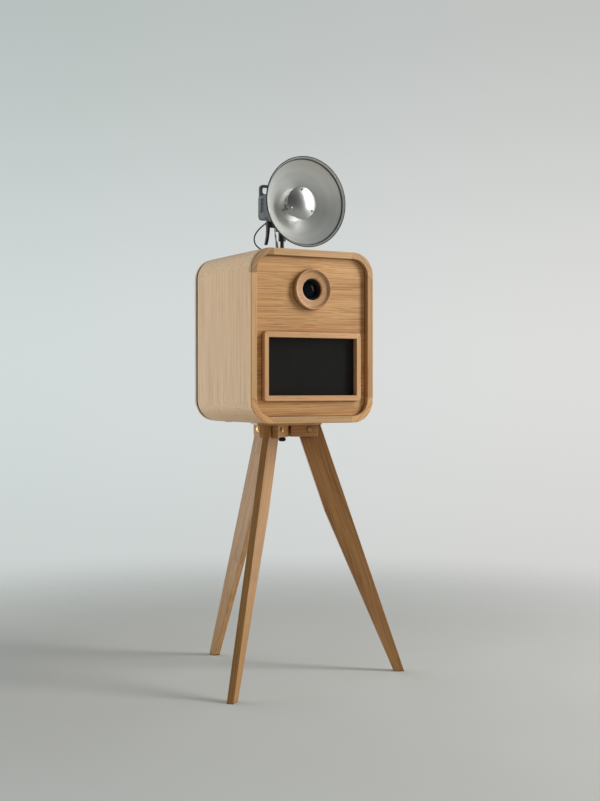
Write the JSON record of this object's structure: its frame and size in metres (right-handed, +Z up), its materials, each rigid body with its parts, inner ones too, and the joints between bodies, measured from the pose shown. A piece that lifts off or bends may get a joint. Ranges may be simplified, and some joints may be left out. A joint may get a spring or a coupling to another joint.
{
  "type": "photo booth",
  "caption": "Oak photo booth: rounded cabinet with lens ring and display, on a folding three-legged stand, with a tilting studio flash dish on top.",
  "frame": {"origin": "on the floor, at the middle of the object's footprint", "axes": "+Z up; the cabinet's front faces -Y; +X is to the right seen from the front"},
  "size_m": [0.745, 0.7084, 1.761],
  "materials": {
    "oak_frame": "oiled solid oak, straight grain",
    "oak_corner": "oiled solid oak, bent grain",
    "oak_veneer_front": "oiled oak veneer, level grain",
    "oak_veneer_side": "pale matt oak veneer, upright grain",
    "oak_turned": "oiled solid oak",
    "oak_door": "pale matt oak veneer",
    "oak_stand": "oiled solid oak, grain along the leg",
    "oak_head": "oiled solid oak",
    "dark_frame": "dark stained",
    "plywood": "birch plywood",
    "brass": "brushed brass",
    "steel": "zinc plated",
    "black_plastic": "black",
    "black_metal": "black powder coat",
    "lens_rubber": "ribbed black rubber",
    "lead_rubber": "black lead",
    "chrome_plug": "nickel plated",
    "lens_glass": "coated front element",
    "screen_glass": "dark glossy display, switched off",
    "tube_glass": "frosted tube and lamp",
    "flash_paint": "grey-blue moulded shell",
    "dish_metal": "satin silver, spun",
    "deflector_metal": "polished",
    "computer_shell": "dark grey",
    "white_plastic": "white",
    "inlet_plastic": "black",
    "rocker_plastic": "black"
  },
  "bodies": {
    "stand_head": {"head_board": "oak_head", "hinge_cheeks": "oak_head", "hinge_bolts": "brass"},
    "stand_knob": {"head_knob": "black_plastic"},
    "leg_back": {"leg_back": "oak_stand"},
    "leg_left": {"leg_left": "oak_stand"},
    "leg_right": {"leg_right": "oak_stand"},
    "cabinet": {"sleeve": "oak_veneer_side", "frame_top_rail": "oak_frame", "frame_bottom_rail": "oak_frame", "frame_left_stile": "oak_frame", "frame_right_stile": "oak_frame", "frame_corner_blocks": "oak_corner", "front_panel": "oak_veneer_front", "lens_ring": "oak_turned", "screen_bezel": "oak_turned", "reveal_frame": "dark_frame", "base_plate": "steel", "camera_shelf": "plywood", "display_glass": "screen_glass", "display_case": "black_plastic", "display_brackets": "steel", "camera_body": "black_plastic", "lens_barrel": "black_plastic", "lens_glass": "lens_glass", "computer_case": "computer_shell", "power_strip": "white_plastic", "mains_inlet": "inlet_plastic", "hinge_leaves_cabinet": "brass", "hinge_pins": "steel", "catch_magnets": "steel"},
    "focus_ring": {"lens_focus_ring": "lens_rubber"},
    "zoom_ring": {"lens_zoom_ring": "lens_rubber"},
    "shutter": {"shutter_button": "black_plastic"},
    "camera_screw": {"camera_screw": "black_plastic"},
    "computer_button": {"computer_button": "computer_shell"},
    "mains_rocker": {"mains_rocker": "rocker_plastic"},
    "door": {"back_door": "oak_door", "hinge_leaves_door": "brass"},
    "swivel": {"swivel_plate": "black_plastic", "spigot": "steel", "tilt_bracket": "black_metal", "cable_grommet": "black_plastic", "jack_plug": "chrome_plug", "power_lead": "lead_rubber", "sync_lead": "lead_rubber"},
    "clamp_screw": {"clamp_screw": "black_plastic"},
    "tilt_lever": {"tilt_lever": "black_plastic"},
    "flash": {"flash_housing": "flash_paint", "flash_rear_panel": "flash_paint", "flash_handle": "black_plastic", "flash_tube": "tube_glass", "dish": "dish_metal", "deflector": "deflector_metal", "deflector_posts": "chrome_plug", "head_cable_boots": "black_plastic"},
    "power_dial": {"power_dial": "black_plastic"},
    "test_button": {"test_button": "rocker_plastic"},
    "power_rocker": {"power_rocker": "rocker_plastic"}
  },
  "joints": [
    {"name": "leg_back_fold", "type": "hinge", "parent": "stand_head", "child": "leg_back", "pos_m": [-0.04925, 0.01717, 0.848], "axis": [-0.986, -0.1668, 0], "range_deg": [0, 24]},
    {"name": "leg_left_fold", "type": "hinge", "parent": "stand_head", "child": "leg_left", "pos_m": [-0.10359, -0.12893, 0.848], "axis": [0.6374, -0.7705, 0], "range_deg": [0, 24]},
    {"name": "leg_right_fold", "type": "hinge", "parent": "stand_head", "child": "leg_right", "pos_m": [0.05011, -0.10294, 0.848], "axis": [0.3486, 0.9373, 0], "range_deg": [0, 24]},
    {"name": "stand_knob_turn", "type": "hinge", "parent": "stand_head", "child": "stand_knob", "pos_m": [-0.03424, -0.07157, 0.815], "axis": [0, 0, 1], "continuous": true},
    {"name": "cabinet_turn", "type": "hinge", "parent": "stand_head", "child": "cabinet", "pos_m": [-0.03424, -0.07157, 0.875], "axis": [0, 0, 1], "continuous": true},
    {"name": "door_open", "type": "hinge", "parent": "cabinet", "child": "door", "pos_m": [0.19076, 0.12943, 1.16], "axis": [0, 0, -1], "range_deg": [0, 95]},
    {"name": "swivel_turn", "type": "hinge", "parent": "cabinet", "child": "swivel", "pos_m": [-0.03424, -0.07157, 1.445], "axis": [0, 0, 1], "range_deg": [-90, 90]},
    {"name": "flash_tilt", "type": "hinge", "parent": "swivel", "child": "flash", "pos_m": [-0.03424, -0.07157, 1.552], "axis": [-1, 0, 0], "range_deg": [-3, 40], "deforming": ["power_lead", "sync_lead"]},
    {"name": "tilt_lever_turn", "type": "hinge", "parent": "swivel", "child": "tilt_lever", "pos_m": [-0.03424, -0.07157, 1.552], "axis": [1, 0, 0], "range_deg": [-60, 60]},
    {"name": "clamp_screw_turn", "type": "hinge", "parent": "swivel", "child": "clamp_screw", "pos_m": [-0.01424, -0.07157, 1.512], "axis": [1, 0, 0], "continuous": true},
    {"name": "focus_turn", "type": "hinge", "parent": "cabinet", "child": "focus_ring", "pos_m": [-0.03424, -0.25357, 1.316], "axis": [0, 1, 0], "range_deg": [-90, 45]},
    {"name": "zoom_turn", "type": "hinge", "parent": "cabinet", "child": "zoom_ring", "pos_m": [-0.03424, -0.21657, 1.316], "axis": [0, 1, 0], "range_deg": [-35, 35]},
    {"name": "shutter_press", "type": "slide", "parent": "cabinet", "child": "shutter", "axis": [0, 0, -1], "range_m": [0, 0.0015], "stiffness_N_per_m": 400},
    {"name": "camera_screw_turn", "type": "hinge", "parent": "cabinet", "child": "camera_screw", "pos_m": [-0.03424, -0.14357, 1.25], "axis": [0, 0, 1], "continuous": true},
    {"name": "computer_button_press", "type": "slide", "parent": "cabinet", "child": "computer_button", "axis": [0, -1, 0], "range_m": [0, 0.0015], "stiffness_N_per_m": 400},
    {"name": "mains_rocker_rock", "type": "hinge", "parent": "cabinet", "child": "mains_rocker", "pos_m": [-0.12974, 0.07843, 0.876], "axis": [1, 0, 0], "range_deg": [-8, 8]},
    {"name": "power_dial_turn", "type": "hinge", "parent": "flash", "child": "power_dial", "pos_m": [-0.05224, 0.02243, 1.636], "axis": [0, 1, 0], "range_deg": [-150, 150]},
    {"name": "test_button_press", "type": "slide", "parent": "flash", "child": "test_button", "axis": [0, -1, 0], "range_m": [0, 0.0012], "stiffness_N_per_m": 300},
    {"name": "power_rocker_rock", "type": "hinge", "parent": "flash", "child": "power_rocker", "pos_m": [-0.01424, 0.02163, 1.594], "axis": [1, 0, 0], "range_deg": [-8, 8]}
  ]
}
